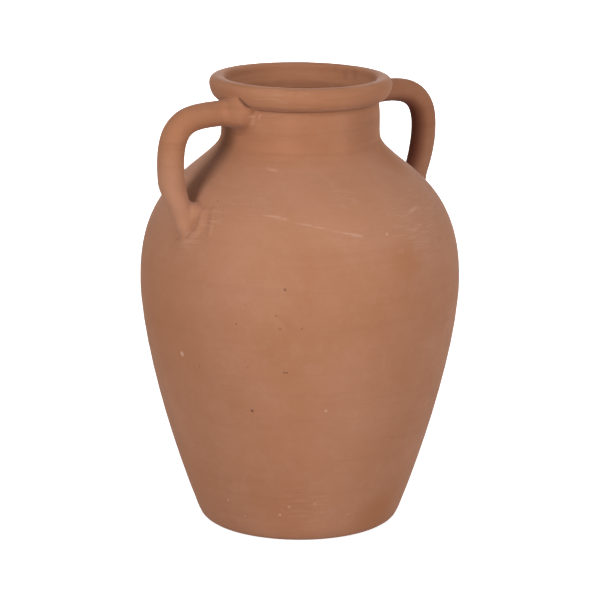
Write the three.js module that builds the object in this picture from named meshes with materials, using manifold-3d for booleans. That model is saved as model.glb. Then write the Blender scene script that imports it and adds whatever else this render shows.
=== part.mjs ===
// Unglazed terracotta vase: a thrown body, a rolled rim and two pulled handles.
// Millimetres and degrees, +Z up. The foot stands on z = 0 and the handles lie along +X and -X.
import * as THREE from 'three';
import { mergeVertices } from 'three/addons/utils/BufferGeometryUtils.js';
import Module from 'manifold-3d';

const wasm = await Module();
wasm.setup();

// Outer face of the body. Slopes are measured from upright, and each rise from the height below it
const footRadius = 72;
const footRounding = 8;
const footSlope = 22.5;
const bellyRadius = 112.5;
const bellyHeight = 174.5;
const shoulderRadius = 81;
const shoulderRise = 74.5;
const shoulderSlope = 50;
const neckRadius = 55.6;
const neckRise = 29.5;
const collarRadius = 54.7;
const collarRise = 21.5;
const collarSlope = 9.5;

// How far each curve of the wall keeps the slope of its lower and its upper end,
// as shares of the distance between them
const bellyPulls = [0.228, 0.275];
const shoulderPulls = [0.375, 0.384];
const neckPulls = [0.684, 0.242];
const collarPulls = [0.27, 0.32];

// Clay thickness
const wallThickness = 7.5;
const floorThickness = 10;
const floorRounding = 14;

// Rolled rim, measured outwards from the collar and upwards from its seat
const rimOverhang = 9.1;
const rimBulgeRise = 12.4;
const rimHeight = 17.4;
const crestInset = 4.9;
const lipInset = 10.6;
const lipRise = 15.4;
const lipPulls = [0.35, 0.35];

// The handles were pulled by hand, so each has its own bend and section
const leftHandle = {
  name: 'handle_left',
  turn: 180,
  topDrop: 4.6, // rim seat down to the middle of the upper root
  topSlope: 4.5, // upward tilt where the handle leaves the neck
  topPull: 38.4,
  shortOfBelly: 5.7, // the middle of the handle at its widest, in from the belly's widest
  reachDrop: 35.5,
  upperPull: 33.4,
  lowerPull: 15.7,
  rootDrop: 76.8, // rim seat down to the middle of the lower root
  rootSlope: 14.8,
  rootPull: 11.2,
  thickness: [17.6, 18.8, 17.5],
  width: [17.4, 19.5, 19.2],
  rootSpread: 1.5, // how far the pressed clay spreads past each side of a root
  // clay thumbed up beside the upper root, over the lower edge of the rim
  pad: { outOfCollar: 1.3, toSide: 11, aboveSeat: 0, across: 17, wide: 20, tall: 24 },
};
const rightHandle = {
  name: 'handle_right',
  turn: 0,
  topDrop: 3,
  topSlope: 10,
  topPull: 32.4,
  shortOfBelly: 4.5,
  reachDrop: 28.9,
  upperPull: 29.7,
  lowerPull: 18.9,
  rootDrop: 69.2,
  rootSlope: 24.3,
  rootPull: 7.1,
  thickness: [15.9, 18.5, 16.8],
  width: [15.7, 17.4, 17.6],
  rootSpread: 3.5,
};
const rootSpreadLength = 12;
const tongueDrop = 21; // the lower end is thumbed on down the wall until it sinks into it
const tonguePull = 7;
const jointGap = 0.3; // slip layer between a handle and what it is pressed on

// How finely round forms are cut
const turnSteps = 64;
const footSteps = 5;
const bellySteps = 11;
const shoulderSteps = 7;
const neckSteps = 7;
const collarSteps = 3;
const floorSteps = 4;
const rimBulgeSteps = 6;
const rimCrestSteps = 3;
const rimInsideSteps = 5;
const lipSteps = 4;
const handleSides = 18;
const handleSteps = 40;
const padSides = 20;
const shortestStep = 1;

const seatHeight = bellyHeight + shoulderRise + neckRise + collarRise;
const clay = { color: 0xb57f61, roughness: 0.92, metalness: 0 };

const point = (radius, height) => new THREE.Vector2(radius, height);
const heading = (slope) => {
  const angle = THREE.MathUtils.degToRad(slope);
  return point(Math.sin(angle), Math.cos(angle));
};

// A smooth stretch between two stations, each a point with the slope of the wall there
function stretch(from, to, [fromPull, toPull]) {
  const length = from.at.distanceTo(to.at);
  const leave = from.at.clone().addScaledVector(heading(from.slope), fromPull * length);
  const arrive = to.at.clone().addScaledVector(heading(to.slope), -toPull * length);
  return new THREE.CubicBezierCurve(from.at, leave, arrive, to.at);
}

// Moves a station into the wall, square to its face
function inset(station, depth) {
  const along = heading(station.slope);
  return { slope: station.slope, at: station.at.clone().add(point(-along.y, along.x).multiplyScalar(depth)) };
}

// From the middle of a rounded corner out to where the wall leaves it
const cornerReach = (rounding) => {
  const along = heading(footSlope);
  return point(along.y, -along.x).multiplyScalar(rounding);
};

const footCentre = point(footRadius - footRounding, footRounding);
const stations = {
  foot: { at: footCentre.clone().add(cornerReach(footRounding)), slope: footSlope },
  belly: { at: point(bellyRadius, bellyHeight), slope: 0 },
  shoulder: { at: point(shoulderRadius, bellyHeight + shoulderRise), slope: -shoulderSlope },
  neck: { at: point(neckRadius, seatHeight - collarRise), slope: 0 },
};

// The wall from foot to collar, as curves with the number of steps that each takes.
// At the collar it ends level, so a deeper face moves straight inwards there
function wallCurves(depth) {
  const { foot, belly, shoulder, neck } = Object.fromEntries(
    Object.entries(stations).map(([name, station]) => [name, inset(station, depth)]),
  );
  const collar = { at: point(collarRadius - depth, seatHeight), slope: -collarSlope };
  return [
    { curve: stretch(foot, belly, bellyPulls), steps: bellySteps },
    { curve: stretch(belly, shoulder, shoulderPulls), steps: shoulderSteps },
    { curve: stretch(shoulder, neck, neckPulls), steps: neckSteps },
    { curve: stretch(neck, collar, collarPulls), steps: collarSteps },
  ];
}

function trace(parts) {
  const points = parts.flatMap(({ curve, steps }) => curve.getPoints(steps));
  return points.filter((each, i) => i === 0 || each.distanceTo(points[i - 1]) > 1e-6);
}

function arc(centre, acrossRadius, upRadius, fromAngle, toAngle, steps) {
  const [start, end] = [fromAngle, toAngle].map(THREE.MathUtils.degToRad);
  const curve = new THREE.EllipseCurve(centre.x, centre.y, acrossRadius, upRadius, start, end, end < start);
  return { curve, steps };
}

const corner = (centre, rounding, steps) => arc(centre, rounding, rounding, -90, -footSlope, steps);

// The point of a face at a height, and the way down along it there
function faceAt(face, height) {
  const above = face.findIndex((each) => each.y > height);
  const [low, high] = [face[above - 1], face[above]];
  const down = low.clone().sub(high).normalize();
  return { at: low.clone().lerp(high, (height - low.y) / (high.y - low.y)), down };
}

const outerFace = trace([corner(footCentre, footRounding, footSteps), ...wallCurves(0)]);

// Inside, the wall curves run down into a rounded floor
function innerFace() {
  const wall = trace(wallCurves(wallThickness));
  const reach = cornerReach(floorRounding);
  const centreHeight = floorThickness + floorRounding;
  const meeting = faceAt(wall, centreHeight + reach.y).at;
  const centre = point(meeting.x - reach.x, centreHeight);
  const aboveFloor = wall.filter((each) => each.y > meeting.y + shortestStep);
  return [...trace([corner(centre, floorRounding, floorSteps)]), ...aboveFloor];
}

function bodyProfile() {
  return [point(0, 0), ...outerFace, ...innerFace().reverse(), point(0, floorThickness)];
}

// The rim is one rounded coil: full and low outside, flatter inside, seated on the collar
const bulge = point(collarRadius + rimOverhang, seatHeight + rimBulgeRise);
const crest = point(bulge.x - crestInset, seatHeight + rimHeight);
const lip = point(bulge.x - lipInset, seatHeight + lipRise);
const rimOutside = trace([
  arc(point(collarRadius, bulge.y), rimOverhang, rimBulgeRise, -90, 0, rimBulgeSteps),
  arc(point(crest.x, bulge.y), crestInset, crest.y - bulge.y, 0, 90, rimCrestSteps),
]);

// Inside it rolls over to the lip, then runs down to meet the neck
function rimProfile() {
  const seatEdge = point(collarRadius - wallThickness, seatHeight);
  const down = 180;
  const inside = trace([
    arc(point(crest.x, lip.y), crest.x - lip.x, crest.y - lip.y, 90, 180, rimInsideSteps),
    { curve: stretch({ at: lip, slope: down }, { at: seatEdge, slope: down }, lipPulls), steps: lipSteps },
  ]);
  return [...rimOutside, ...inside.slice(1), rimOutside[0]];
}

function turned(profile) {
  const geometry = new THREE.LatheGeometry(profile, turnSteps);
  return geometry.rotateX(Math.PI / 2);
}

// A bend through two points, each left or reached along a direction for a given pull
function bend(from, leaving, fromPull, to, arriving, toPull) {
  const leave = from.clone().addScaledVector(leaving, fromPull);
  const arrive = to.clone().addScaledVector(arriving, -toPull);
  return new THREE.CubicBezierCurve(from, leave, arrive, to);
}

// The middle line of a handle is planar: up and over, down to the wall, then on into it
function handleLine(handle) {
  const start = point(neckRadius - wallThickness / 2, seatHeight - handle.topDrop);
  const widest = point(bellyRadius - handle.shortOfBelly, seatHeight - handle.reachDrop);
  const root = faceAt(outerFace, seatHeight - handle.rootDrop).at;
  const { at: tip, down } = faceAt(outerFace, root.y - tongueDrop);
  const sunk = tip.clone().addScaledVector(point(down.y, -down.x), handle.thickness[2] / 2 + handle.rootSpread);
  const rise = heading(90 - handle.topSlope);
  const fall = heading(180 + handle.rootSlope);
  const straightDown = point(0, -1);
  return [
    bend(start, rise, handle.topPull, widest, straightDown, handle.upperPull),
    bend(widest, straightDown, handle.lowerPull, root, fall, handle.rootPull),
    bend(root, fall, tonguePull, sunk, down, tonguePull),
  ];
}

// Blends three sizes given at the upper root, the middle and the lower root
function along(sizes, share) {
  const half = share < 0.5 ? 0 : 1;
  const blend = THREE.MathUtils.smoothstep(share * 2 - half, 0, 1);
  return THREE.MathUtils.lerp(sizes[half], sizes[half + 1], blend);
}

function spreadAt(handle, toWall) {
  const closeness = THREE.MathUtils.clamp(1 - toWall / rootSpreadLength, 0, 1);
  return handle.rootSpread * closeness ** 2;
}

function handleBlank(handle) {
  const path = new THREE.CurvePath();
  path.curves = handleLine(handle);
  const length = path.getLength();
  const neckDepth = wallThickness / 2;
  const tongueLength = path.curves[2].getLength();
  const rings = [];
  for (let step = 0; step <= handleSteps; step++) {
    const share = step / handleSteps;
    const centre = path.getPointAt(share);
    const run = path.getTangentAt(share);
    const toWall = Math.min(share * length - neckDepth, (1 - share) * length - tongueLength);
    const halfThickness = along(handle.thickness, share) / 2 + spreadAt(handle, toWall) / 2;
    const halfWidth = along(handle.width, share) / 2 + spreadAt(handle, toWall);
    for (let side = 0; side < handleSides; side++) {
      const angle = (2 * Math.PI * side) / handleSides;
      const out = Math.cos(angle) * halfThickness;
      rings.push(centre.x + run.y * out, Math.sin(angle) * halfWidth, centre.y - run.x * out);
    }
  }
  return capped(rings, handleSides, handleSteps);
}

// Skins a stack of rings and closes both ends with a fan
function capped(positions, sides, steps) {
  const faces = [];
  for (let step = 0; step < steps; step++) {
    for (let side = 0; side < sides; side++) {
      const a = step * sides + side;
      const b = step * sides + ((side + 1) % sides);
      faces.push(a, b, a + sides, b, b + sides, a + sides);
    }
  }
  const last = steps * sides;
  for (let side = 1; side < sides - 1; side++) {
    faces.push(0, side + 1, side, last, last + side, last + side + 1);
  }
  const geometry = new THREE.BufferGeometry();
  geometry.setAttribute('position', new THREE.Float32BufferAttribute(positions, 3));
  geometry.setIndex(faces);
  return geometry;
}

function solidOf(geometry) {
  const bare = geometry.clone();
  bare.deleteAttribute('normal');
  bare.deleteAttribute('uv');
  const merged = mergeVertices(bare, 1e-4);
  const index = merged.index.array;
  const faces = [];
  for (let i = 0; i < index.length; i += 3) {
    const [a, b, c] = index.slice(i, i + 3);
    if (a !== b && b !== c && c !== a) faces.push(a, b, c);
  }
  const vertProperties = new Float32Array(merged.attributes.position.array);
  return new wasm.Manifold(new wasm.Mesh({ numProp: 3, vertProperties, triVerts: new Uint32Array(faces) }));
}

function geometryOf(solid) {
  const { vertProperties, triVerts } = solid.getMesh();
  const geometry = new THREE.BufferGeometry();
  geometry.setAttribute('position', new THREE.BufferAttribute(vertProperties, 3));
  geometry.setIndex(new THREE.BufferAttribute(triVerts, 1));
  return geometry;
}

// The space that a turned face fills, grown by the joint gap, for trimming what is pressed on it
function pressedForm(face) {
  const grown = face.map((each, i) => {
    const before = face[Math.max(i - 1, 0)];
    const after = face[Math.min(i + 1, face.length - 1)];
    const run = after.clone().sub(before).normalize();
    return each.clone().add(point(run.y, -run.x).multiplyScalar(jointGap));
  });
  const [first, last] = [grown[0], grown[grown.length - 1]];
  return solidOf(turned([point(0, first.y), ...grown, point(0, last.y)]));
}

const trimmer = pressedForm(outerFace).add(pressedForm(rimOutside));

function padOf({ outOfCollar, toSide, aboveSeat, across, wide, tall }) {
  const ball = new THREE.SphereGeometry(0.5, padSides, padSides / 2).scale(across, wide, tall);
  return solidOf(ball.translate(collarRadius + outOfCollar, toSide, seatHeight + aboveSeat));
}

function handleGeometry(handle) {
  const bar = solidOf(handleBlank(handle));
  const pressed = handle.pad ? bar.add(padOf(handle.pad)) : bar;
  return geometryOf(pressed.subtract(trimmer));
}

function piece(name, geometry) {
  const mesh = new THREE.Mesh(geometry, new THREE.MeshStandardMaterial(clay));
  mesh.name = name;
  return mesh;
}

const vase = new THREE.Group();
vase.add(piece('vase_body', turned(bodyProfile())));
vase.add(piece('rim_roll', turned(rimProfile())));
for (const handle of [leftHandle, rightHandle]) {
  const mesh = piece(handle.name, handleGeometry(handle));
  mesh.rotation.z = THREE.MathUtils.degToRad(handle.turn);
  vase.add(mesh);
}

export default vase;
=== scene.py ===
import math

import bpy
import numpy as np
from mathutils import Matrix, Vector
from mathutils.bvhtree import BVHTree


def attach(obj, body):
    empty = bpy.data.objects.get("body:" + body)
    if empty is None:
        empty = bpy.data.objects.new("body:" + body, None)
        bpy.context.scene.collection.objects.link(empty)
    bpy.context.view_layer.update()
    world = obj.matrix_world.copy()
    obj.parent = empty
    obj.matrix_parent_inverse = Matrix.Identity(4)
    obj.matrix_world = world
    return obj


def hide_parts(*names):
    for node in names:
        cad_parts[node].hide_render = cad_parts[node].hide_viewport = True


# Unglazed terracotta vase with two pulled handles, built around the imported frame.
# Everything is in metres in the frame's own axes; the dictionaries give millimetres.
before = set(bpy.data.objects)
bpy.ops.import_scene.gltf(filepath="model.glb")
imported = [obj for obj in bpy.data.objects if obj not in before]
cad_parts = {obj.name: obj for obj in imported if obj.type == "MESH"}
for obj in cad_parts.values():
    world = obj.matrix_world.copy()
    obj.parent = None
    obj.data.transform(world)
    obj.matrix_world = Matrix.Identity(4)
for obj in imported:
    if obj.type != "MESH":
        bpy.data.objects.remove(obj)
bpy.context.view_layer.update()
mm = 0.001


def linear(code):
    # sRGB hex to the linear values that shaders take
    parts = [int(code[i:i + 2], 16) / 255 for i in (0, 2, 4)]
    return [p / 12.92 if p <= 0.04045 else ((p + 0.055) / 1.055) ** 2.4 for p in parts] + [1.0]


def addNode(tree, kind, links=(), **settings):
    # adds one node; links are nodes or sockets to connect and values to set, in order or by key
    node = tree.nodes.new(kind)
    for name, value in settings.items():
        setattr(node, name, value)
    for key, value in (links if isinstance(links, dict) else dict(enumerate(links))).items():
        if isinstance(value, bpy.types.Node):
            value = next(output for output in value.outputs if output.enabled)
        if isinstance(value, bpy.types.NodeSocket):
            tree.links.new(value, node.inputs[key])
        else:
            node.inputs[key].default_value = value
    return node


def addObject(name, data):
    made = bpy.data.objects.new(name, data)
    bpy.context.scene.collection.objects.link(made)
    return made


clay = {
    "tone": "af7a5d",               # fired body colour where the light falls full on it
    "warm": "a76f4e",
    "shade": "935f46",              # darker bands between the turning rings
    "pale": "bf957d",               # salts and rubbed dust
    "chalk": "d6b29a",              # fresh scratches
    # pits, and the painted shade under the rim, in the crease and inside the mouth
    "pitAndShade": "6b4434",
    "handleShade": "6e3c28",              # painted shade on the handles' sides towards the neck
    "cleanAndShade": "a56a45",              # neck and rim, where less dust lies; also the tone of the painted shade patches
    # size, detail and roughness of each noise; three sizes stretch it along x, y and z
    "noises": {
        "blotch": (42, 3.0, 0.55),
        "mottle": (9, 4.0, 0.6),
        "speck": (1.6, 2.0, 0.5),
        "grain": (0.8, 2.0, 0.6),
        "groove": ((60, 60, 1.5), 2.0, 0.6),    # real turning marks are about 0.5 apart
        "band": ((90, 90, 6), 3.0, 0.6),
        "streak": ((14, 14, 1.3), 2.0, 0.6),
    },
    # share of each layer: its noise, the noise's span, least and most
    "shares": {
        "warm": ("blotch", 0.3, 0.7, 0.12, 0.9),
        "mottle": ("mottle", 0.48, 0.75, 0.0, 0.13),
        "speck": ("speck", 0.6, 0.72, 0.0, 0.22),
        "scuffAndLight": ("streak", 0.48, 0.66, 0.0, 1.0),
        "scratch": ("streak", 0.4, 0.6, 0.15, 1.0),
    },
    "bandSpan": (0.5, 0.75),
    "bandMost": (0.2, 0.65),        # on the body and on the neck
    "cleanShare": 0.32,
    "cleanHeights": (261, 272),     # the neck gets clean between these heights
    "dustShare": 0.12,
    "dustHeights": (195, 235),      # and the shoulder dusty between these
    "pitSpacing": 17,
    "pitSize": 0.8,
    "pitCore": 0.34,                # radius over which a pit has its full depth
    "pitChoice": (0.4, 0.9, 0.0, 0.6),      # two in five cells get none, the others a faint one
    "relief": {"grain": 0.06, "groove": 0.06, "pitAndShade": -0.35, "scratch": -0.12},
    "roughness": 0.88,
    "refraction": 1.45,
    "sheen": 0.1,
    "sheenRoughness": 0.4,
}

# places in millimetres on the finished surface
wearAndShade = {
    # from, to, width, strength
    "scratches": (
        ((-71.9, -58.4, 237.1), (-60, -74.1, 233.8), 1.6, 0.3),
        ((-60, -74.1, 233.8), (-39.3, -91, 228.2), 1.3, 0.2),
        ((-39.3, -91, 228.2), (-16.8, -100.9, 222.5), 1.5, 0.3),
        ((-27.5, -97.4, 224.5), (-19, -100.4, 222.9), 1.8, 0.27),
        ((3.9, -106.9, 211.4), (11.5, -106.9, 210.5), 1.7, 0.3),
        ((-52, -19.4, 297.1), (-52.3, -17.5, 288.8), 2, 0.3),
        ((-49.4, -23.9, 298.2), (-50.7, -22.2, 293.3), 1.8, 0.25),
        ((22, -98, 222), (33, -93, 224), 1.5, 0.2),
        ((26, -92, 233), (38, -86, 236), 1.5, 0.2),
        ((-53.8, -35.9, 263.2), (-49.3, -43.8, 261.2), 1.5, 0.25),
    ),
    # painted shade in the crease between rim and left handle and painted shade in runs inside the mouth, in
    # the same order
    "shadeLines": (
        ((-61.5, -14.6, 308.4), (-58.6, -18, 304.6), 1.3, 0.8),
        ((-59.4, -17.2, 305.4), (-54.9, -21, 301.4), 1.3, 0.8),
        ((49.6, 26.5, 315), (48.2, 24.6, 311), 3.2, 0.12),
        ((51.6, 17.6, 313.5), (46.8, 11.3, 302), 4.4, 0.2),
        ((54.2, 8.8, 315), (49.6, 3.6, 305), 3.6, 0.2),
    ),
    # rubbed places, and last a patch of painted light on the rim's front: centre, radius, strength
    "scuffsAndLight": (
        ((27.9, -96.1, 226.5), 34, 0.3),
        ((52, -74, 236), 30, 0.2),
        ((-78.6, -42.1, 241.2), 26, 0.15),
        ((-19.9, -80.9, 246.7), 14, 0.3),
        ((-48, -80, 25), 30, 0.3),
        ((-92, -28, 231), 13, 0.3),
        ((-100, -20, 216), 14, 0.25),
        # painted light on the rim's front
        ((-47, -42, 312), 30, 0.22),
    ),
    # warmer, darker patches, mostly painted shade at the sides, by the foot and on the neck
    "warmShade": (
        ((-110, 10, 150), 75, 0.5),
        ((-88, 20, 40), 50, 0.5),
        ((40, -50, 262), 26, 1),
        ((10, -103, 205), 22, 0.6),
        ((-60, -70, 12), 30, 0.8),
        ((20, -80, 14), 30, 0.9),
        ((95, -50, 110), 30, 0.5),
    ),
    # pits where grit fell out, and last painted shade under the rim
    "pitsAndShade": (
        ((-81.5, -60.9, 102.5), 1.5, 0.9),
        ((-71.7, -85.4, 190.4), 1.4, 0.7),
        ((-78.5, -66, 103.5), 1, 0.6),
        ((-76.6, -82.1, 172.6), 1, 0.5),
        ((-94.2, -60.6, 165), 1, 0.5),
        ((-74.4, -83.6, 163.7), 1.1, 0.5),
        ((-62.9, -92.7, 164), 1, 0.5),
        ((-70, -82.2, 132.3), 1.2, 0.6),
        ((-68.5, -83.4, 132.3), 1.1, 0.6),
        ((38.2, -98.8, 121.6), 1, 0.5),
        ((12.3, -94.2, 76), 1.1, 0.5),
        ((14, -54, 285), 26, 0.15),       # this and the next are painted shade under the rim
        ((-22, -50, 283), 24, 0.1),
    ),
    # flakes of lime
    "flecks": (
        ((-107.6, -14.1, 136), 2.6, 0.6),
        ((-42.7, -92.7, 103.9), 1.6, 0.4),
        ((-76.6, -23.8, 28.4), 1.7, 0.35),
        ((-68.7, -33.2, 17.9), 1.4, 0.25),
        ((-54.6, -55.6, 22.1), 1.6, 0.4),
        ((-51.4, -61.9, 29), 1.7, 0.35),
        ((-36.9, -72.3, 31.4), 1.5, 0.2),
        ((-11.7, -76.4, 20.6), 1.4, 0.2),
        ((-0.3, -102.3, 222.8), 1.7, 0.35),
    ),
}
# share of a spot's radius where it has its full strength
spotCores = {"scuffsAndLight": 0.3, "warmShade": 0.1, "pitsAndShade": 0.3, "flecks": 0.2}
markForm = {
    "wander": 0.8,                  # the line strays this far to each side
    "core": 0.7,                    # share of its length before it fades out
    "depth": 4.5,                   # reach into the wall, so that it stays on its own side
}


def spotMask(tree, place, name):
    # soft round spots about placed centres
    total = 0.0
    for centre, radius, strength in wearAndShade[name]:
        away = addNode(tree, "ShaderNodeVectorMath", (
            place, tuple(q * mm for q in centre)), operation="DISTANCE")
        mask = addNode(tree, "ShaderNodeMapRange", (
            away, radius * mm, radius * spotCores[name] * mm, 0.0, strength),
            interpolation_type="SMOOTHSTEP")
        total = addNode(tree, "ShaderNodeMath", (total, mask), operation="MAXIMUM")
    return total


def markMask(tree, place, name, ragged):
    # thin straight marks, broken up by a noise
    total = 0.0
    for start, end, width, strength in wearAndShade[name]:
        start, end = Vector(start) * mm, Vector(end) * mm
        half = (end - start).length / 2
        along = (end - start).normalized()
        outward = (start + end) * 0.5
        outward.z = 0
        outward.normalize()
        off = addNode(tree, "ShaderNodeVectorMath", (place, tuple(start)), operation="SUBTRACT")
        run, gap, depth = (
            addNode(tree, "ShaderNodeVectorMath", (off, tuple(way)), operation="DOT_PRODUCT")
            for way in (along, along.cross(outward).normalized(), outward))
        wander = markForm["wander"] * mm
        sideways = addNode(tree, "ShaderNodeMath", (ragged, 2 * wander, gap), operation="MULTIPLY_ADD")
        sideways = addNode(tree, "ShaderNodeMath", (sideways, -wander), operation="ADD")
        sideways = addNode(tree, "ShaderNodeMath", (sideways,), operation="ABSOLUTE")
        mask = addNode(tree, "ShaderNodeMapRange", (
            sideways, width * mm, 0.0, 0.0, strength), interpolation_type="SMOOTHSTEP")
        ends = addNode(tree, "ShaderNodeMath", (run, -half), operation="ADD")
        ends = addNode(tree, "ShaderNodeMath", (ends,), operation="ABSOLUTE")
        inside = addNode(tree, "ShaderNodeMapRange", (ends, half, half * markForm["core"], 0.0, 1.0))
        near = addNode(tree, "ShaderNodeMath", (depth, 0.0, markForm["depth"] * mm), operation="COMPARE")
        for part in (inside, near):
            mask = addNode(tree, "ShaderNodeMath", (mask, part), operation="MULTIPLY")
        total = addNode(tree, "ShaderNodeMath", (total, mask), operation="MAXIMUM")
    return total


def makeTerracotta():
    # Unglazed terracotta, thrown and sponged: matte, grainy, faint level rings from the wheel,
    # pale rubbed places, a few fresh scratches, pits where grit fell out
    material = bpy.data.materials.new("terracotta")
    material.use_nodes = True
    tree = material.node_tree
    tree.nodes.clear()
    place = addNode(tree, "ShaderNodeTexCoord").outputs["Object"]
    noise = {}
    for name, (size, detail, roughness) in clay["noises"].items():
        spot, scale = place, 1.0
        if isinstance(size, tuple):
            spot = addNode(tree, "ShaderNodeMapping", {
                "Vector": place, "Scale": tuple(1 / (q * mm) for q in size)})
        else:
            scale = 1 / (size * mm)
        noise[name] = addNode(tree, "ShaderNodeTexNoise", {
            "Vector": spot, "Scale": scale, "Detail": detail, "Roughness": roughness})
    share = {
        name: addNode(tree, "ShaderNodeMapRange", (noise[source], *span))
        for name, (source, *span) in clay["shares"].items()}
    height = addNode(tree, "ShaderNodeSeparateXYZ", (place,)).outputs[2]
    cleanSpan = [q * mm for q in clay["cleanHeights"]]
    dustSpan = [q * mm for q in clay["dustHeights"]]
    bandMost = addNode(tree, "ShaderNodeMapRange", (height, *cleanSpan, *clay["bandMost"]))
    band = addNode(tree, "ShaderNodeMapRange", (noise["band"], *clay["bandSpan"], 0.0, bandMost))
    dust = addNode(tree, "ShaderNodeMapRange", (
        height, *dustSpan, 0.0, clay["dustShare"]), interpolation_type="SMOOTHSTEP")
    dust = addNode(tree, "ShaderNodeMapRange", (height, *cleanSpan, dust, 0.0))
    cleanAndShade = addNode(tree, "ShaderNodeMapRange", (height, *cleanSpan, 0.0, clay["cleanShare"]))
    # the painted shade patches go on in the same tone
    cleanAndShade = addNode(tree, "ShaderNodeMath", (
        cleanAndShade, spotMask(tree, place, "warmShade")), operation="MAXIMUM")
    # painted shade on the handles' sides towards the neck, read from their meshes
    handleShade = addNode(tree, "ShaderNodeAttribute", attribute_name="paintedShade", attribute_type="GEOMETRY")
    # rubbed places, and painted light on the rim's front
    scuffAndLight = addNode(tree, "ShaderNodeMath", (
        spotMask(tree, place, "scuffsAndLight"), share["scuffAndLight"]), operation="MULTIPLY")
    scratch = addNode(tree, "ShaderNodeMath", (
        markMask(tree, place, "scratches", noise["mottle"]), share["scratch"]), operation="MULTIPLY")
    chalk = addNode(tree, "ShaderNodeMath", (
        scratch, spotMask(tree, place, "flecks")), operation="MAXIMUM")
    # pits where grit fell out: the placed ones and a thin scatter of small ones; with them the painted shade
    # under the rim, in the crease and inside the mouth
    cells = addNode(tree, "ShaderNodeTexVoronoi", {
        "Vector": place, "Scale": 1 / (clay["pitSpacing"] * mm), "Randomness": 1.0})
    scattered = addNode(tree, "ShaderNodeMapRange", (
        cells.outputs["Distance"], clay["pitSize"] / clay["pitSpacing"],
        clay["pitCore"] / clay["pitSpacing"], 0.0, 1.0))
    chosen = addNode(tree, "ShaderNodeSeparateColor", (cells.outputs["Color"],))
    chosen = addNode(tree, "ShaderNodeMapRange", (chosen, *clay["pitChoice"]))
    pitAndShade = addNode(tree, "ShaderNodeMath", (scattered, chosen), operation="MULTIPLY")
    for mask in (spotMask(tree, place, "pitsAndShade"), markMask(tree, place, "shadeLines", noise["mottle"])):
        pitAndShade = addNode(tree, "ShaderNodeMath", (pitAndShade, mask), operation="MAXIMUM")
    colour = linear(clay["tone"])
    for amount, tone in (
            (share["warm"], "warm"), (band, "shade"), (share["mottle"], "pale"), (share["speck"], "shade"),
            (dust, "pale"), (cleanAndShade, "cleanAndShade"), (handleShade.outputs["Fac"], "handleShade"), (scuffAndLight, "pale"),
            (chalk, "chalk"), (pitAndShade, "pitAndShade")):
        colour = addNode(tree, "ShaderNodeMix", {
            0: amount, 6: colour, 7: linear(clay[tone])}, data_type="RGBA")
    relief = 0.0
    reliefParts = {"grain": noise["grain"], "groove": noise["groove"], "pitAndShade": pitAndShade, "scratch": scratch}
    for name, part in reliefParts.items():
        relief = addNode(tree, "ShaderNodeMath", (
            part, clay["relief"][name] * mm, relief), operation="MULTIPLY_ADD")
    bump = addNode(tree, "ShaderNodeBump", {"Height": relief, "Distance": 1.0, "Strength": 1.0})
    shader = addNode(tree, "ShaderNodeBsdfPrincipled", {
        "Base Color": colour, "Roughness": clay["roughness"], "IOR": clay["refraction"],
        "Sheen Weight": clay["sheen"], "Sheen Roughness": clay["sheenRoughness"], "Normal": bump})
    addNode(tree, "ShaderNodeOutputMaterial", {"Surface": shader})
    return material


terracotta = makeTerracotta()
print("terracotta ready")


lineForm = {
    "onPlane": 1e-6,                # metres off the half plane y = 0 that still count as on it
    "levelRun": 15,                 # stretches longer than this stay straight
    "sharp": 35,                    # degrees of turn that keep a corner sharp
}


def meridian(nodeName):
    # corner points of a turned CAD node on the half plane y = 0, in order, as radius and height
    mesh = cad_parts[nodeName].data
    near = lineForm["onPlane"]
    corners = {}
    links = {}
    for edge in mesh.edges:
        ends = []
        for index in edge.vertices:
            co = mesh.vertices[index].co
            if abs(co.y) > near or co.x < -near:
                break
            key = (round(co.x / near), round(co.z / near))
            corners[key] = (co.x, co.z)
            ends.append(key)
        if len(ends) == 2 and ends[0] != ends[1]:
            links.setdefault(ends[0], set()).add(ends[1])
            links.setdefault(ends[1], set()).add(ends[0])
    start = min(corners)
    chain = [start]
    ahead = max(links[start], key=lambda k: (k[0], -k[1]))
    while ahead is not None and ahead != start:
        chain.append(ahead)
        onward = [k for k in links[ahead] if k not in chain]
        ahead = onward[0] if onward else (start if start in links[ahead] and len(chain) > 2 else None)
    points = np.array([corners[k] for k in chain])
    return points, ahead == start


def smoothLine(points, spacing):
    # a curve through the points, cut about every spacing along it; long level stretches stay straight
    gaps = np.linalg.norm(np.diff(points, axis=0), axis=1)
    levelRun = lineForm["levelRun"] * mm
    straight = gaps > levelRun
    before = np.vstack([2 * points[0] - points[1], points, 2 * points[-1] - points[-2]])
    spans = np.concatenate([gaps[:1], gaps, gaps[-1:]])
    out = [points[:1]]
    for i, gap in enumerate(gaps):
        p0, p1, p2, p3 = before[i:i + 4]
        d0, d1, d2 = spans[i:i + 3]
        m1 = ((p1 - p0) / d0 - (p2 - p0) / (d0 + d1) + (p2 - p1) / d1) * d1
        m2 = ((p2 - p1) / d1 - (p3 - p1) / (d1 + d2) + (p3 - p2) / d2) * d1
        if straight[i]:
            m1 = m2 = p2 - p1
        elif i > 0 and straight[i - 1]:
            m1 = (p1 - p0) / d0 * d1
        elif i + 1 < len(gaps) and straight[i + 1]:
            m2 = (p3 - p2) / d2 * d1
        cuts = max(4, round(gap / levelRun)) if straight[i] else max(1, round(gap / spacing))
        t = (np.arange(1, cuts + 1) / cuts)[:, None]
        out.append((2 * t**3 - 3 * t**2 + 1) * p1 + (t**3 - 2 * t**2 + t) * m1
                   + (3 * t**2 - 2 * t**3) * p2 + (t**3 - t**2) * m2)
    return np.vstack(out)


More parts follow.
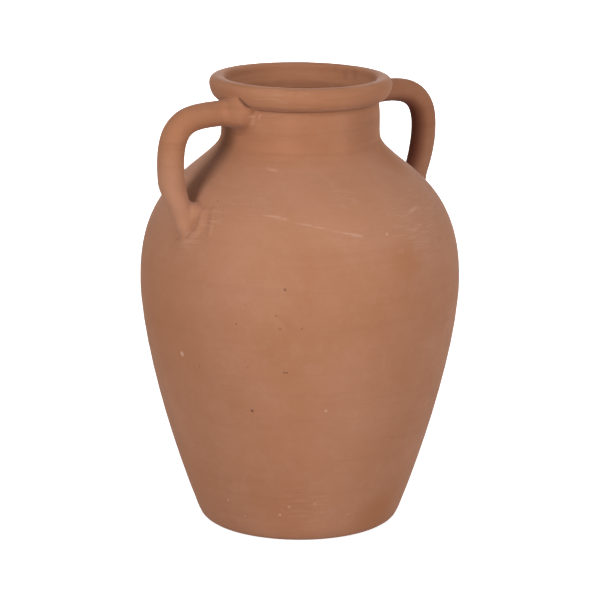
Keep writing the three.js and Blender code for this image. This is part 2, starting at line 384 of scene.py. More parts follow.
def splitAtCorners(points, closed):
    # stretches between sharp corners, each to be smoothed by itself
    if closed:
        points = np.vstack([points, points[:1]])
    run = np.diff(points, axis=0)
    angle = np.arctan2(run[:, 1], run[:, 0])
    turn = np.abs((np.diff(angle) + math.pi) % (2 * math.pi) - math.pi)
    sharp = np.flatnonzero(turn > math.radians(lineForm["sharp"])) + 1
    cuts = [0, *sharp, len(points) - 1]
    return [points[a:b + 1] for a, b in zip(cuts[:-1], cuts[1:])]


turnedForm = {
    "ringScale": 9.0,               # waves per metre round a turning ring
    "axisFade": 20,                 # the unevenness fades out towards the axis within this
    "merge": 0.01,
    "sizes": ("wobble", "wobbleSize", "ridgeHeight", "ridgeSpacing", "ridgeLow", "ridgeHigh"),
}


def turnedTree():
    # lays the rows of a grid on the points of a profile line and closes it round the axis
    tree = bpy.data.node_groups.new("turnedClay", "GeometryNodeTree")
    kinds = {"profile": "Geometry", "columns": "Int", "rows": "Int",
             **dict.fromkeys(turnedForm["sizes"], "Float"), "clay": "Material"}
    sockets = {
        name: tree.interface.new_socket(name, in_out="INPUT", socket_type="NodeSocket" + kind).identifier
        for name, kind in kinds.items()}
    tree.interface.new_socket("Geometry", in_out="OUTPUT", socket_type="NodeSocketGeometry")
    given = addNode(tree, "NodeGroupInput").outputs
    columnEdges = addNode(tree, "ShaderNodeMath", (given["columns"], 1.0), operation="ADD")
    grid = addNode(tree, "GeometryNodeMeshGrid", {
        "Size X": 1.0, "Size Y": 1.0, "Vertices X": columnEdges, "Vertices Y": given["rows"]})
    here = addNode(tree, "GeometryNodeInputPosition")
    share = addNode(tree, "ShaderNodeSeparateXYZ", (here,)).outputs
    angle = addNode(tree, "ShaderNodeMath", (share[0], 2 * math.pi, math.pi), operation="MULTIPLY_ADD")
    along = addNode(tree, "ShaderNodeMath", (share[1], 0.5), operation="ADD")
    lastRow = addNode(tree, "ShaderNodeMath", (given["rows"], 1.0), operation="SUBTRACT")
    row = addNode(tree, "ShaderNodeMath", (along, lastRow), operation="MULTIPLY")
    row = addNode(tree, "ShaderNodeMath", (row,), operation="ROUND")
    spot = addNode(tree, "GeometryNodeSampleIndex", {
        0: given["profile"], "Value": here, "Index": row}, data_type="FLOAT_VECTOR")
    face = addNode(tree, "GeometryNodeInputNamedAttribute", {"Name": "outside"}, data_type="FLOAT")
    outside = addNode(tree, "GeometryNodeSampleIndex", {
        0: given["profile"], "Value": face, "Index": row}, data_type="FLOAT")
    radius, _, rise = addNode(tree, "ShaderNodeSeparateXYZ", (spot,)).outputs
    ways = [addNode(tree, "ShaderNodeMath", (angle,), operation=kind) for kind in ("COSINE", "SINE")]
    flat = [addNode(tree, "ShaderNodeMath", (radius, way), operation="MULTIPLY") for way in ways]
    plain = addNode(tree, "ShaderNodeCombineXYZ", (*flat, rise))
    wobbleScale, ringScale = (
        addNode(tree, "ShaderNodeMath", (1.0, given[name]), operation="DIVIDE")
        for name in ("wobbleSize", "ridgeSpacing"))
    # slow unevenness of a hand-thrown wall, only ever inwards
    uneven = addNode(tree, "ShaderNodeTexNoise", {
        "Vector": plain, "Scale": wobbleScale, "Detail": 2.0, "Roughness": 0.45})
    wobble = addNode(tree, "ShaderNodeMath", (uneven, given["wobble"]), operation="MULTIPLY")
    # level rings left by the fingers
    ringStretch = addNode(tree, "ShaderNodeCombineXYZ", (
        turnedForm["ringScale"], turnedForm["ringScale"], ringScale))
    ringPlace = addNode(tree, "ShaderNodeVectorMath", (plain, ringStretch), operation="MULTIPLY")
    rings = addNode(tree, "ShaderNodeTexNoise", {
        "Vector": ringPlace, "Scale": 1.0, "Detail": 1.0, "Roughness": 0.5})
    high = addNode(tree, "ShaderNodeMapRange", (
        rise, given["ridgeLow"], given["ridgeHigh"], 0.0, 1.0), interpolation_type="SMOOTHSTEP")
    ringShare = addNode(tree, "ShaderNodeMath", (high, outside), operation="MULTIPLY")
    ringDepth = addNode(tree, "ShaderNodeMath", (ringShare, given["ridgeHeight"]), operation="MULTIPLY")
    ring = addNode(tree, "ShaderNodeMath", (rings, ringDepth, wobble), operation="MULTIPLY_ADD")
    offAxis = addNode(tree, "ShaderNodeMapRange", (radius, 0.0, turnedForm["axisFade"] * mm, 0.0, 1.0))
    inward = addNode(tree, "ShaderNodeMath", (ring, offAxis), operation="MULTIPLY")
    moved = addNode(tree, "ShaderNodeMath", (radius, inward), operation="SUBTRACT")
    flat = [addNode(tree, "ShaderNodeMath", (moved, way), operation="MULTIPLY") for way in ways]
    end = addNode(tree, "ShaderNodeCombineXYZ", (*flat, rise))
    placed = addNode(tree, "GeometryNodeSetPosition", {0: grid, "Position": end})
    merged = addNode(tree, "GeometryNodeMergeByDistance", {0: placed, "Distance": turnedForm["merge"] * mm})
    smooth = addNode(tree, "GeometryNodeSetShadeSmooth", (merged,))
    real = addNode(tree, "GeometryNodeRealizeInstances", (smooth,))
    finished = addNode(tree, "GeometryNodeSetMaterial", {0: real, "Material": given["clay"]})
    addNode(tree, "NodeGroupOutput", (finished,))
    return tree, sockets


def signedVolume(mesh):
    mesh.calc_loop_triangles()
    co = np.array([v.co for v in mesh.vertices])
    tris = np.array([t.vertices for t in mesh.loop_triangles])
    a, b, c = co[tris[:, 0]], co[tris[:, 1]], co[tris[:, 2]]
    return float(np.einsum("ij,ij->i", a, np.cross(b, c)).sum() / 6)


def makePiece(name, mesh):
    # an object with its faces outwards
    if signedVolume(mesh) < 0:
        mesh.flip_normals()
    mesh.name = name
    return addObject(name, mesh)


def makeTurned(name, nodeName, form):
    corners, closed = meridian(nodeName)
    lines = []
    for i, run in enumerate(splitAtCorners(corners, closed)):
        inside = i > 0 and not closed
        line = smoothLine(run, form["insideSpacing" if inside else "spacing"] * mm)
        lines.append(line if i == 0 else line[1:])
    line = np.vstack(lines)
    line[:, 1] = np.clip(line[:, 1], corners[:, 1].min(), corners[:, 1].max())
    outsideFlags = (np.arange(len(line)) < len(lines[0])) & (not closed)
    mesh = bpy.data.meshes.new(name + "Profile")
    mesh.from_pydata([(r, 0.0, z) for r, z in line], [(i, i + 1) for i in range(len(line) - 1)], [])
    flag = mesh.attributes.new("outside", "FLOAT", "POINT")
    flag.data.foreach_set("value", np.asarray(outsideFlags, np.float32))
    source = addObject(name + "Profile", mesh)
    modifier = source.modifiers.new("turned", "NODES")
    modifier.node_group = turned
    values = {key: form[key] * mm for key in turnedForm["sizes"]}
    values.update(columns=form["columns"], rows=len(line), clay=terracotta)
    for key, value in values.items():
        modifier[turnedSockets[key]] = value
    made = bpy.data.meshes.new_from_object(source.evaluated_get(bpy.context.evaluated_depsgraph_get()))
    bpy.data.objects.remove(source)
    piece = makePiece(name, made)
    print(name, len(made.vertices), "vertices", len(line), "rows")
    return piece, line


turned, turnedSockets = turnedTree()

bodyForm = {
    "columns": 300,
    "spacing": 1.35, "insideSpacing": 7,
    "wobble": 0.5, "wobbleSize": 90,
    "ridgeHeight": 0.16, "ridgeSpacing": 4.5,
    "ridgeLow": 130, "ridgeHigh": 215,      # the turning rings grow between these heights
}
rimForm = {
    "columns": 320,
    "spacing": 0.7, "insideSpacing": 0.7,
    "wobble": 0.5, "wobbleSize": 90,
    "ridgeHeight": 0.0, "ridgeSpacing": 4.5,
    "ridgeLow": 0, "ridgeHigh": 1,
    "lipTilt": 1.1,                 # the lip sinks this far towards its low side
    "lowSide": -35,
    "tiltFrom": 303, "tiltOver": 12, "lipRadius": 64,
}


def tiltLip(mesh, form):
    # the rolled lip isn't quite level: its top sinks a little towards one side
    away = math.radians(form["lowSide"])
    for vertex in mesh.vertices:
        co = vertex.co
        share = min(max((co.z / mm - form["tiltFrom"]) / form["tiltOver"], 0), 1)
        across = (co.x * math.cos(away) + co.y * math.sin(away)) / (form["lipRadius"] * mm)
        co.z -= form["lipTilt"] * mm * share**2 * (3 - 2 * share) * (0.5 + 0.5 * across)


vaseBody, bodyLine = makeTurned("vaseBody", "vase_body", bodyForm)
rimRoll, rimLine = makeTurned("rimRoll", "rim_roll", rimForm)
tiltLip(rimRoll.data, rimForm)
for piece, nodeName in ((vaseBody, "vase_body"), (rimRoll, "rim_roll")):
    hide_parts(nodeName)
    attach(piece, "root")


# the same hand-pulled lines as the frame's solids; heights are taken down from the rim's seat
leftForm = {
    "name": "handleLeft", "node": "handle_left", "turn": 180,
    "topDrop": 4.8, "topSlope": 4.5, "topPull": 37.9,
    "reach": 106.8, "reachDrop": 35.5, "upperPull": 32.8, "lowerPull": 15.7,
    "rootDrop": 76.8, "rootSlope": 14.8, "rootPull": 11.2,
    "thickness": (17.8, 18.8, 17.5),
    "width": (17.4, 19.5, 19.2),
    "rootSpread": 1.5,
    "tongueDrop": 18,
    # thumbed tongue: distance back from its end, shift to the side, share of width, flattening
    "tongue": ((48, 0, 1, 0), (36, 5, 0.88, 1.3), (29, 7, 0.72, 1.7), (20, 9, 0.64, 1.9),
               (14, 11, 0.62, 2.0), (0, 12, 0.6, 2.2)),
    "blends": (1.0, 7.5, 1.6),      # fillet against the rim, the neck and the shoulder
    "room": (-23, 36),
    # bulges of pressed clay: centre, half sizes, blend
    "pads": (((56.5, 10, 300), (9.5, 10, 10.5), 10), ((57, 7.5, 293.5), (8.5, 9, 6.5), 7),
             ((93, 9, 230), (7.5, 10, 9), 6)),
    "cracks": (((61.5, 15.2, 308.4), (56, 20.6, 301.6), 0.8),),     # from, to, radius
    # smeared clay about the lower root: points, half width, height
    "smears": (
        (((93.2, 18.5, 234.2), (96.7, 21.6, 228.1), (98.6, 22.2, 225.2), (100.4, 21.8, 221.8),
          (102.8, 18.8, 217.9), (105.4, 14.2, 213.2), (106.6, 9.5, 211.8)), 2.5, 2.3),
        (((111.4, 4.8, 229.6), (110.3, 5.6, 224.0), (109.2, 4.9, 216.9), (107.8, 6.0, 213.0),
          (106.6, 9.5, 211.8)), 1.9, 1.7),
        (((89.6, 25.2, 236.6), (94.0, 30.3, 228.1), (97.6, 32.5, 221.5)), 2.0, 0.7),
    ),
    "paintedShade": (0.05, 0.15),       # least and most painted shade, the most on the neck side
    "seed": 3,
}
rightForm = {
    "name": "handleRight", "node": "handle_right", "turn": 0,
    "topDrop": 3, "topSlope": 10, "topPull": 32.4,
    "reach": 108, "reachDrop": 28.9, "upperPull": 29.7, "lowerPull": 18.9,
    "rootDrop": 69.2, "rootSlope": 24.3, "rootPull": 7.1,
    "thickness": (15.9, 18.5, 16.8),
    "width": (15.7, 17.4, 17.6),
    "rootSpread": 3.5,
    "tongueDrop": 21,
    "tongue": ((30, 0, 1, 0), (15, 0, 0.9, 0), (0, 0, 0.8, 0)),
    "blends": (1.0, 2.0, 1.6),
    "room": (-23, 23),
    "pads": (), "cracks": (),
    "smears": (
        (((100.5, -16.5, 228), (104.5, -15.0, 220), (107.5, -8.0, 213)), 1.8, 0.35),
        (((100.5, 16.5, 228), (104.5, 15.0, 220), (107.5, 8.0, 213)), 1.8, 0.35),
    ),
    "paintedShade": (0.28, 0.97),
    "seed": 8,
}
handleCommon = {
    "neckRadius": 51.85,            # the line starts here, inside the neck's wall
    "seatHeight": 300,
    "tonguePull": 7,
    "curvePoints": 160, "linePoints": 420,
    "inWall": 3.75,                 # length of line inside the neck's wall
    "rootSpreadLength": 12,
    "evenSteps": 25,                # points over which the tongue's sections are evened out
    "cell": 0.6,                    # fineness of the skin
    "margins": (40, 13, 14, 16),    # least radius; room beyond the line outwards, down and up
    "sink": 0.04,                   # the skin dips this far under the wall where it runs out
    "rootDepth": 1.5,
    "unevenness": 0.35,
    "waves": (7, 15, 40, 9),        # number, least and most length, and what they add up to
    "streakDepth": 0.1,
    "streaks": ((7, 2), (11, -3), (17, 4)),     # times round the handle, turns along it
    "twistLength": 60,
    "clearInside": 52.8,            # no clay of a handle comes through the neck
    "neckJoin": (255, 15),          # from shoulder fillet to neck fillet: height, over
    "rimJoin": (296, 6),            # from neck fillet to rim fillet
    "crackBlend": 0.8,
    "skirt": 0.5,                   # clay this far past a fillet goes
    "thinnest": 0.05,               # unless it is smeared thicker than this
    "relaxTimes": 2,
    "shadeEdge": 0.1,               # share of the thickness where the painted shade begins
    # the painted shade grows in over these heights: from, over
    "shadeFrom": (225, 25),
}
tableForm = {
    "radii": (36, 136), "heights": (190, 330), "step": 0.5,
    "bodyFrom": 150,                # outline of the body used above this height
    "pastCrest": 20,                # points of the rim's outline used past its crest
    "rimFrom": 54,                  # the rim's outer side lies beyond this radius
    "shiftAngles": (-40, 40), "shiftHeights": (190, 312), "castFrom": 200,
}

outerLine = bodyLine[:np.argmax(bodyLine[:, 1]) + 1] / mm


def bezier(corners, count):
    t = np.linspace(0, 1, count)[:, None]
    a, b, c, d = (np.array(corner, float) for corner in corners)
    return (1 - t)**3 * a + 3 * (1 - t)**2 * t * b + 3 * (1 - t) * t**2 * c + t**3 * d


def wallRadius(height):
    return float(np.interp(height, outerLine[:, 1], outerLine[:, 0]))


def downTheWall(height):
    run = np.array([wallRadius(height - 1) - wallRadius(height + 1), -2.0])
    return run / np.linalg.norm(run)


def leaning(slope):
    return np.array([math.sin(math.radians(slope)), math.cos(math.radians(slope))])


def handleLine(form):
    # radius and height of the handle's middle, from inside the neck to the sunk tip of the tongue
    seat = handleCommon["seatHeight"]
    start = np.array([handleCommon["neckRadius"], seat - form["topDrop"]])
    widest = np.array([form["reach"], seat - form["reachDrop"]])
    rootHeight = seat - form["rootDrop"]
    root = np.array([wallRadius(rootHeight), rootHeight])
    tipHeight = rootHeight - form["tongueDrop"]
    down = downTheWall(tipHeight)
    sunk = (np.array([wallRadius(tipHeight), tipHeight])
            + np.array([down[1], -down[0]]) * (form["thickness"][2] / 2 + form["rootSpread"]))
    rise, fall, drop = leaning(90 - form["topSlope"]), leaning(180 + form["rootSlope"]), np.array([0, -1.0])
    pull = handleCommon["tonguePull"]
    spans = (
        (start, start + rise * form["topPull"], widest - drop * form["upperPull"], widest),
        (widest, widest + drop * form["lowerPull"], root - fall * form["rootPull"], root),
        (root, root + fall * pull, sunk - down * pull, sunk))
    lines = [bezier(span, handleCommon["curvePoints"]) for span in spans]
    lengths = [np.linalg.norm(np.diff(line, axis=0), axis=1).sum() for line in lines]
    line = np.vstack([lines[0], lines[1][1:], lines[2][1:]])
    travelled = np.concatenate([[0], np.cumsum(np.linalg.norm(np.diff(line, axis=0), axis=1))])
    even = np.linspace(0, travelled[-1], handleCommon["linePoints"])
    line = np.stack([np.interp(even, travelled, q) for q in line.T], 1)
    return line, even, lengths[2]


def blendSizes(sizes, share):
    # from the first size over the second at half way to the third
    first = np.clip(share * 2, 0, 1)
    second = np.clip(share * 2 - 1, 0, 1)
    first, second = (3 * q**2 - 2 * q**3 for q in (first, second))
    return sizes[0] + (sizes[1] - sizes[0]) * first + (sizes[2] - sizes[1]) * second


def wallTable():
    # signed distance to the outside of body and rim over radius and height, clay side negative
    rimOut = rimLine / mm
    first = np.argmin(np.linalg.norm(rimOut - outerLine[-1], axis=1))
    # the rim's points from the neck outwards
    ahead = np.roll(rimOut[:-1], -first, axis=0)
    if ahead[3, 0] < ahead[0, 0]:
        ahead = np.vstack([ahead, ahead[:1]])[::-1]
    rise = ahead[:np.argmax(ahead[:, 1]) + tableForm["pastCrest"]]
    outline = np.vstack([outerLine[outerLine[:, 1] > tableForm["bodyFrom"]], rise[1:]])
    step = tableForm["step"]
    radii, heights = (np.arange(a, b + step / 2, step) for a, b in (tableForm["radii"], tableForm["heights"]))
    spot = np.stack(np.meshgrid(radii, heights, indexing="ij"), -1).reshape(-1, 2)
    best = np.full(len(spot), 1e9)
    for p, q in zip(outline[:-1], outline[1:]):
        run = q - p
        off = spot - p
        t = np.clip(off @ run / (run @ run), 0, 1)
        gap = off - t[:, None] * run
        best = np.minimum(best, np.hypot(*gap.T))
    # clay side: an even-odd count of the closed outline's edges beside each spot
    closed = np.vstack([outline, [(0, outline[-1, 1]), (0, outline[0, 1]), outline[0]]])
    inside = np.zeros(len(spot), bool)
    for p, q in zip(closed[:-1], closed[1:]):
        if p[1] != q[1]:
            between = (spot[:, 1] >= min(p[1], q[1])) & (spot[:, 1] < max(p[1], q[1]))
            edge = p[0] + (q[0] - p[0]) * (spot[:, 1] - p[1]) / (q[1] - p[1])
            inside ^= between & (spot[:, 0] < edge)
    return radii, heights, np.where(inside, -best, best).reshape(len(radii), len(heights))


def lookUp(xs, ys, table, x, y):
    # values of an even table between its points
    i = np.clip((x - xs[0]) / (xs[1] - xs[0]), 0, len(xs) - 1.001)
    j = np.clip((y - ys[0]) / (ys[1] - ys[0]), 0, len(ys) - 1.001)
    i0, j0 = i.astype(int), j.astype(int)
    fi, fj = i - i0, j - j0
    return ((table[i0, j0] * (1 - fi) + table[i0 + 1, j0] * fi) * (1 - fj)
            + (table[i0, j0 + 1] * (1 - fi) + table[i0 + 1, j0 + 1] * fi) * fj)


def treeOf(pieces):
    corners, faces = [], []
    for piece in pieces:
        start = len(corners)
        corners += [v.co.copy() for v in piece.data.vertices]
        faces += [[start + i for i in face.vertices] for face in piece.data.polygons]
    return BVHTree.FromPolygons(corners, faces)


def wallShift(turn, outline):
    # how far the finished wall lies off its outline round about a handle, over angle and height
    angles, heights = (
        np.arange(a, b + 0.5, 1.0) for a, b in (tableForm["shiftAngles"], tableForm["shiftHeights"]))
    shift = np.zeros((len(angles), len(heights)))
    for i, angle in enumerate(angles):
        away = math.radians(turn + angle)
        outward = Vector((math.cos(away), math.sin(away), 0))
        for j, height in enumerate(heights):
            start = outward * tableForm["castFrom"] * mm + Vector((0, 0, height * mm))
            hit = wallTree.ray_cast(start, -outward)[0]
            shift[i, j] = hit.to_2d().length / mm - np.interp(height, outline[:, 1], outline[:, 0])
    return angles, heights, shift


def smoothLeast(a, b, k):
    # the lesser of two fields, with a fillet about k wide
    overlap = np.maximum(k - np.abs(a - b), 0) / k
    return np.minimum(a, b) - overlap**3 * k / 6


def smoothStep(q):
    q = np.clip(q, 0, 1)
    return q * q * (3 - 2 * q)


def toSegment(x, y, z, a, b):
    # distance from every grid point to the straight line between a and b
    a = np.array(a, float)
    run = np.array(b, float) - a
    parts = list(zip((x, y, z), a, run))
    t = np.clip(sum((q - c) * r for q, c, r in parts) / (run @ run), 0, 1)
    return np.sqrt(sum((q - c - t * r)**2 for q, c, r in parts))


def toEllipsoid(x, y, z, centre, half):
    # about the distance to an ellipsoid, clay side negative
    away = [(q - c) / h for q, c, h in zip((x, y, z), centre, half)]
    size = np.sqrt(sum(q**2 for q in away))
    slope = np.sqrt(sum((q / h)**2 for q, h in zip(away, half)))
    return size * (size - 1) / np.maximum(slope, 1e-6)


def handWaves(x, y, z, seed):
    # slow seeded waves between 0 and 1, as a hand leaves them
    count, least, most, sumOfAll = handleCommon["waves"]
    random = np.random.default_rng(seed)
    total = 0
    for _ in range(count):
        way = random.normal(size=3)
        way *= 2 * math.pi / random.uniform(least, most) / np.linalg.norm(way)
        total = total + np.sin(x * way[0] + y * way[1] + z * way[2] + random.uniform(0, 2 * math.pi))
    return np.clip(0.5 + total / sumOfAll, 0, 1)


def openPinches(field, cell):
    # where clay would touch itself only along an edge of the grid, it is taken away
    inside = field < 0
    pinched = np.ones(1, bool)
    while pinched.any():
        pinched = np.zeros_like(inside)
        for first, second in ((0, 1), (0, 2), (1, 2)):
            corner = {}
            for u in (0, 1):
                for v in (0, 1):
                    part = [slice(None)] * 3
                    part[first] = slice(u, inside.shape[first] - 1 + u)
                    part[second] = slice(v, inside.shape[second] - 1 + v)
                    corner[u, v] = tuple(part)
            a, b, c, d = (inside[corner[uv]] for uv in ((0, 0), (1, 1), (1, 0), (0, 1)))
            slant, back = a & b & ~c & ~d, c & d & ~a & ~b
            for uv, hit in (((0, 0), slant), ((1, 1), slant), ((1, 0), back), ((0, 1), back)):
                pinched[corner[uv]] |= hit
        inside &= ~pinched
        field[pinched] = 0.1 * cell


def skin(field, origin, cell):
    # closed surface where the field changes sign, with one corner for each cell that it crosses
    shape = np.array(field.shape)
    inside = field < 0
    count = sum(inside[i:shape[0] - 1 + i, j:shape[1] - 1 + j, k:shape[2] - 1 + k].astype(int)
                for i in (0, 1) for j in (0, 1) for k in (0, 1))
    cells = np.argwhere((count > 0) & (count < 8))
    total = np.zeros((len(cells), 3))
    crossings = np.zeros(len(cells))
    for axis in range(3):
        others = [i for i in range(3) if i != axis]
        for u in (0, 1):
            for v in (0, 1):
                low = np.zeros(3, int)
                low[others] = u, v
                high = low.copy()
                high[axis] = 1
                a = field[tuple((cells + low).T)]
                b = field[tuple((cells + high).T)]
                crossed = (a < 0) != (b < 0)
                t = np.where(crossed, a / np.where(crossed, a - b, 1), 0)
                total += crossed[:, None] * (low + t[:, None] * (high - low))
                crossings += crossed
    corners = origin + (cells + total / crossings[:, None]) * cell
    number = np.full(count.shape, -1)
    number[tuple(cells.T)] = np.arange(len(cells))
    faces = []
    for axis in range(3):
        second, third = (axis + 1) % 3, (axis + 2) % 3
        size = shape.copy()
        size[axis] -= 1
        here = inside[tuple(slice(0, n) for n in size)]
        offset = [0, 0, 0]
        offset[axis] = 1
        there = inside[tuple(slice(o, n + o) for o, n in zip(offset, size))]
        for change, order in ((here & ~there, 1), (~here & there, -1)):
            edges = np.argwhere(change)
            ring = []
            for ds, dt in ((-1, -1), (0, -1), (0, 0), (-1, 0))[::order]:
                cellAt = edges.copy()
                cellAt[:, second] += ds
                cellAt[:, third] += dt
                ring.append(number[tuple(cellAt.T)])
            faces.append(np.stack(ring, 1))
    return corners, np.vstack(faces)


def relax(corners, faces, times):
    # evens out the cells' small steps
    edges = np.vstack([faces[:, [i, (i + 1) % 4]] for i in range(4)])
    for _ in range(times):
        total = np.zeros_like(corners)
        number = np.zeros(len(corners))
        for a, b in ((0, 1), (1, 0)):
            np.add.at(total, edges[:, a], corners[edges[:, b]])
            np.add.at(number, edges[:, a], 1)
        corners = corners * 0.5 + total / number[:, None] * 0.5
    return corners


def largestPart(corners, faces):
    # drops crumbs of clay that aren't joined to the handle
    joined = [[] for _ in corners]
    for face in faces.tolist():
        for a, b in zip(face, face[1:] + face[:1]):
            joined[a].append(b)
    part = np.full(len(corners), -1)
    for first in range(len(corners)):
        if part[first] < 0:
            part[first] = first
            waiting = [first]
            while waiting:
                for other in joined[waiting.pop()]:
                    if part[other] < 0:
                        part[other] = first
                        waiting.append(other)
    kept = part == np.bincount(part).argmax()
    number = np.cumsum(kept) - 1
    return corners[kept], number[faces[kept[faces[:, 0]]]]


def nearestOnLine(spots, line):
    # index of the line's nearest point for each spot, a part at a time to save memory
    return np.concatenate([
        ((part[:, None, :] - line[None])**2).sum(-1).argmin(1) for part in np.array_split(spots, 60)])


def paintedShadeShare(form, corners, line, run, halfThick):
    # painted shade on the side towards the neck
    spots = corners[:, [0, 2]]
    beside = nearestOnLine(spots, line)
    outwards = (spots - line[beside]) * np.stack([-run[beside, 1], run[beside, 0]], 1)
    inner = smoothStep(-outwards.sum(1) / halfThick[beside] - handleCommon["shadeEdge"])
    start, length = handleCommon["shadeFrom"]
    inner *= smoothStep((corners[:, 2] - start) / length)
    least, most = form["paintedShade"]
    return least + (most - least) * inner


def makeHandle(form):
    common = handleCommon
    cell = common["cell"]
    line, travelled, tongue = handleLine(form)
    leastRadius, outRoom, downRoom, upRoom = common["margins"]
    low = np.array([leastRadius, form["room"][0], line[:, 1].min() - downRoom])
    high = np.array([form["reach"] + outRoom, form["room"][1], line[:, 1].max() + upRoom])
    axes = [np.arange(a, b + cell, cell) for a, b in zip(low, high)]
    # nearest point of the middle line, which only depends on radius and height
    flat = np.stack(np.meshgrid(axes[0], axes[2], indexing="ij"), -1).reshape(-1, 2)
    nearest = nearestOnLine(flat, line)
    run = np.gradient(line, axis=0)
    run /= np.linalg.norm(run, axis=1)[:, None]
    off = flat - line[nearest]
    across = off[:, 0] * -run[nearest, 1] + off[:, 1] * run[nearest, 0]
    past = off[:, 0] * run[nearest, 0] + off[:, 1] * run[nearest, 1]
    # half sizes of the oval section all along the line
    share = travelled / travelled[-1]
    ahead = travelled[-1] - travelled
    toWall = np.minimum(travelled - common["inWall"], ahead - tongue)
    closeness = np.clip(1 - toWall / common["rootSpreadLength"], 0, 1)
    spread = form["rootSpread"] * closeness**2
    sections = np.array(form["tongue"][::-1], float)
    steps = common["evenSteps"]
    toSide, widthShare, flattening = (np.convolve(
        np.pad(np.interp(ahead, sections[:, 0], sections[:, i]), steps // 2, "edge"),
        np.ones(steps) / steps, "valid") for i in (1, 2, 3))
    halfThick = blendSizes(form["thickness"], share) / 2 + spread / 2 - flattening
    halfWide = (blendSizes(form["width"], share) / 2 + spread) * widthShare
    flatShape = (len(axes[0]), 1, len(axes[2]))
    thick, wide = halfThick[nearest].reshape(flatShape), halfWide[nearest].reshape(flatShape)
    across, past = (across + flattening[nearest]).reshape(flatShape), past.reshape(flatShape)
    x, y, z = axes[0][:, None, None], axes[1][None, :, None], axes[2][None, None, :]
    side = y - toSide[nearest].reshape(flatShape)
    oval = np.sqrt((across / thick)**2 + (side / wide)**2 + (past / thick)**2)
    slope = np.sqrt((across / thick**2)**2 + (side / wide**2)**2 + (past / thick**2)**2)
    bar = oval * (oval - 1) / np.maximum(slope, 1e-6)
    # marks of the pulling hand: slow unevenness and fine streaks along the handle, only ever inwards
    around = np.arctan2(side / wide, across / thick)
    twist = (travelled / common["twistLength"])[nearest].reshape(flatShape)
    streaks = 0.5 + sum(np.sin(around * k + twist * m + k) for k, m in common["streaks"]) / 6
    bar = bar + common["unevenness"] * handWaves(x, y, z, form["seed"])
    bar = bar + common["streakDepth"] * streaks
    for centre, half, blend in form["pads"]:
        bar = smoothLeast(bar, toEllipsoid(x, y, z, centre, half), blend)
    # melt the bar into the finished wall, with the smears on it and the cracks cut
    radius = np.sqrt(x**2 + y**2) + 0 * z
    angle = np.degrees(np.arctan2(y, x)) + 0 * z
    height = z + 0 * radius
    shift = lookUp(*wallShift(form["turn"], wholeLine), angle, height)
    wall = lookUp(*wallDistances, radius - shift, height)
    smeared = np.zeros_like(wall)
    for points, halfWidth, rise in form["smears"]:
        away = np.minimum.reduce([toSegment(x, y, z, a, b) for a, b in zip(points[:-1], points[1:])])
        smeared = np.maximum(smeared, rise * np.exp(-(away / halfWidth)**2))
    toRim, toNeck, toRoot = form["blends"]
    blend = toRoot
    for (start, length), change in (
            (common["neckJoin"], toNeck - toRoot), (common["rimJoin"], toRim - toNeck)):
        blend = blend + change * smoothStep((height - start) / length)
    field = smoothLeast(bar, wall + common["sink"] - smeared, blend)
    for start, end, size in form["cracks"]:
        field = -smoothLeast(-field, toSegment(x, y, z, start, end) - size, common["crackBlend"])
    for limit in (-wall - common["rootDepth"],
                  np.minimum(bar - blend - common["skirt"], common["thinnest"] - smeared),
                  common["clearInside"] - radius):
        field = np.maximum(field, limit)
    openPinches(field, cell)
    corners, faces = largestPart(*skin(field, low, cell))
    corners = relax(corners, faces, common["relaxTimes"])
    # painted shade on the side towards the neck
    paintedShade = paintedShadeShare(form, corners, line, run, halfThick)
    turnBack = math.radians(form["turn"])
    c, s = math.cos(turnBack), math.sin(turnBack)
    x, y, z = corners.T
    corners = np.stack([x * c - y * s, x * s + y * c, z], 1)
    mesh = bpy.data.meshes.new(form["name"])
    mesh.from_pydata((corners * mm).tolist(), [], faces.tolist())
    mesh.polygons.foreach_set("use_smooth", [True] * len(mesh.polygons))
    mesh.attributes.new("paintedShade", "FLOAT", "POINT").data.foreach_set("value", paintedShade.astype(np.float32))
    mesh.materials.append(terracotta)
    piece = makePiece(form["name"], mesh)
    print(form["name"], len(corners), "vertices", len(faces), "faces")
    return piece


wallTree = treeOf([vaseBody, rimRoll])
wallDistances = wallTable()
rimOuter = rimLine[rimLine[:, 0] > tableForm["rimFrom"] * mm] / mm
rimOuter = rimOuter[np.argsort(rimOuter[:, 1])]
wholeLine = np.vstack([outerLine[:-1], rimOuter])
for form in (leftForm, rightForm):
    handle = makeHandle(form)
    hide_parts(form["node"])
    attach(handle, "root")


# fitted to the photo's outline, in metres and degrees
cameraForm = {
    "place": (-1.0551, -1.5073, 0.60964),
    "turns": ((-35, "Z"), (76.156, "X"), (0.277, "Z")),
    "lens": 160.88, "sensor": 36, "clipEnd": 50,
}
# metres
stageLook = {
    "floorTone": "d8d8d8",
    "floorReach": 6.0,
    "floorLift": 0.84,              # white of the floor about the vase as the camera sees it
    "whiteFrom": (0.2, 0.9),        # it rises to full white between these distances
    "ambient": 0.02,
    "aim": (0, 0, 0.16),
    "distance": 2.2,
}
# direction round the vase from straight ahead, height angle, width and height in metres, power
lampForms = {
    "leftSoftbox": (-74, 21, 0.7, 1.9, 31),
    "rightLow": (12, 8, 1.0, 1.0, 15),
    "rightHigh": (5, 30, 1.0, 1.6, 15),
    "overhead": (-125, 80, 1.3, 1.3, 6.5),
    "backSoftbox": (145, 12, 0.8, 1.4, 22),
    "sideSoftbox": (100, 18, 0.8, 1.2, 6),
}

camera = addObject("camera", bpy.data.cameras.new("camera"))
camera.data.sensor_width = cameraForm["sensor"]
camera.data.lens = cameraForm["lens"]
camera.data.clip_end = cameraForm["clipEnd"]
pose = Matrix.Translation(cameraForm["place"])
for degrees, axis in cameraForm["turns"]:
    pose = pose @ Matrix.Rotation(math.radians(degrees), 4, axis)
camera.matrix_world = pose
bpy.context.scene.camera = camera

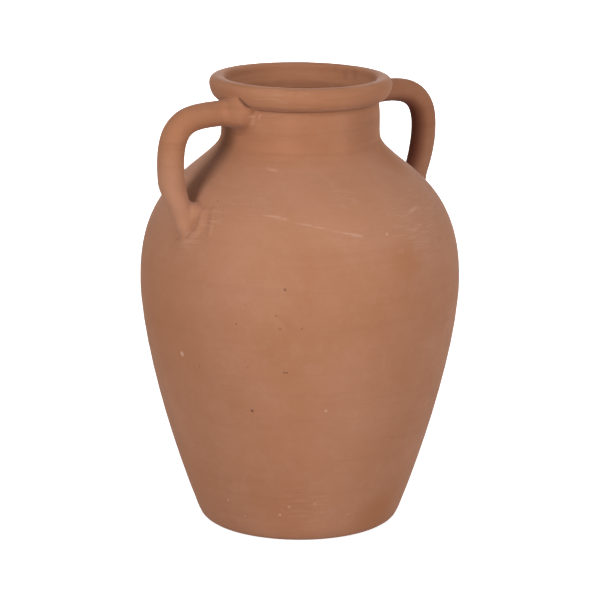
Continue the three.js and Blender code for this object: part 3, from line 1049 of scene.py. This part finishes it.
world = bpy.data.worlds.new("studio")
bpy.context.scene.world = world
world.use_nodes = True
tree = world.node_tree
tree.nodes.clear()
# white to the camera and in reflections, and next to no light on the clay
rays = addNode(tree, "ShaderNodeLightPath").outputs
seen = 0.0
for kind in ("Camera", "Glossy", "Transmission"):
    seen = addNode(tree, "ShaderNodeMath", (seen, rays["Is " + kind + " Ray"]), operation="MAXIMUM")
level = addNode(tree, "ShaderNodeMix", {0: seen, 2: stageLook["ambient"], 3: 1.0})
sky = addNode(tree, "ShaderNodeBackground", ((1, 1, 1, 1), level))
addNode(tree, "ShaderNodeOutputWorld", (sky,))

# Pale painted floor: matte, keeps the vase's shadow, and turns white to the camera further out
floorLook = bpy.data.materials.new("paleFloor")
floorLook.use_nodes = True
tree = floorLook.node_tree
tree.nodes.clear()
rays = addNode(tree, "ShaderNodeLightPath").outputs
matte = addNode(tree, "ShaderNodeBsdfDiffuse", (linear(stageLook["floorTone"]),))
floorPlace = addNode(tree, "ShaderNodeTexCoord").outputs["Object"]
away = addNode(tree, "ShaderNodeVectorMath", (floorPlace,), operation="LENGTH")
whiteness = addNode(tree, "ShaderNodeMapRange", (away, *stageLook["whiteFrom"], stageLook["floorLift"], 1.0))
lift = addNode(tree, "ShaderNodeEmission", ((1, 1, 1, 1), whiteness))
lifted = addNode(tree, "ShaderNodeAddShader", (matte, lift))
shown = addNode(tree, "ShaderNodeMixShader", (rays["Is Camera Ray"], matte, lifted))
addNode(tree, "ShaderNodeOutputMaterial", (shown,))

reach = stageLook["floorReach"]
floorMesh = bpy.data.meshes.new("floor")
floorMesh.from_pydata([(x * reach, y * reach, 0) for x, y in ((-1, -1), (1, -1), (1, 1), (-1, 1))],
                      [], [(0, 1, 2, 3)])
floorMesh.materials.append(floorLook)
floor = addObject("floor", floorMesh)

for name, (azimuth, elevation, width, tall, power) in lampForms.items():
    lamp = addObject(name, bpy.data.lights.new(name, "AREA"))
    lamp.data.shape = "RECTANGLE"
    lamp.data.size = width
    lamp.data.size_y = tall
    lamp.data.energy = power
    a, e = math.radians(azimuth), math.radians(elevation)
    toLamp = Vector((math.sin(a) * math.cos(e), -math.cos(a) * math.cos(e), math.sin(e)))
    lamp.matrix_world = (
        Matrix.Translation(Vector(stageLook["aim"]) + toLamp * stageLook["distance"])
        @ toLamp.to_track_quat("Z", "Y").to_matrix().to_4x4())

print("stage ready")
bpy.context.scene.view_settings.view_transform = "Standard"
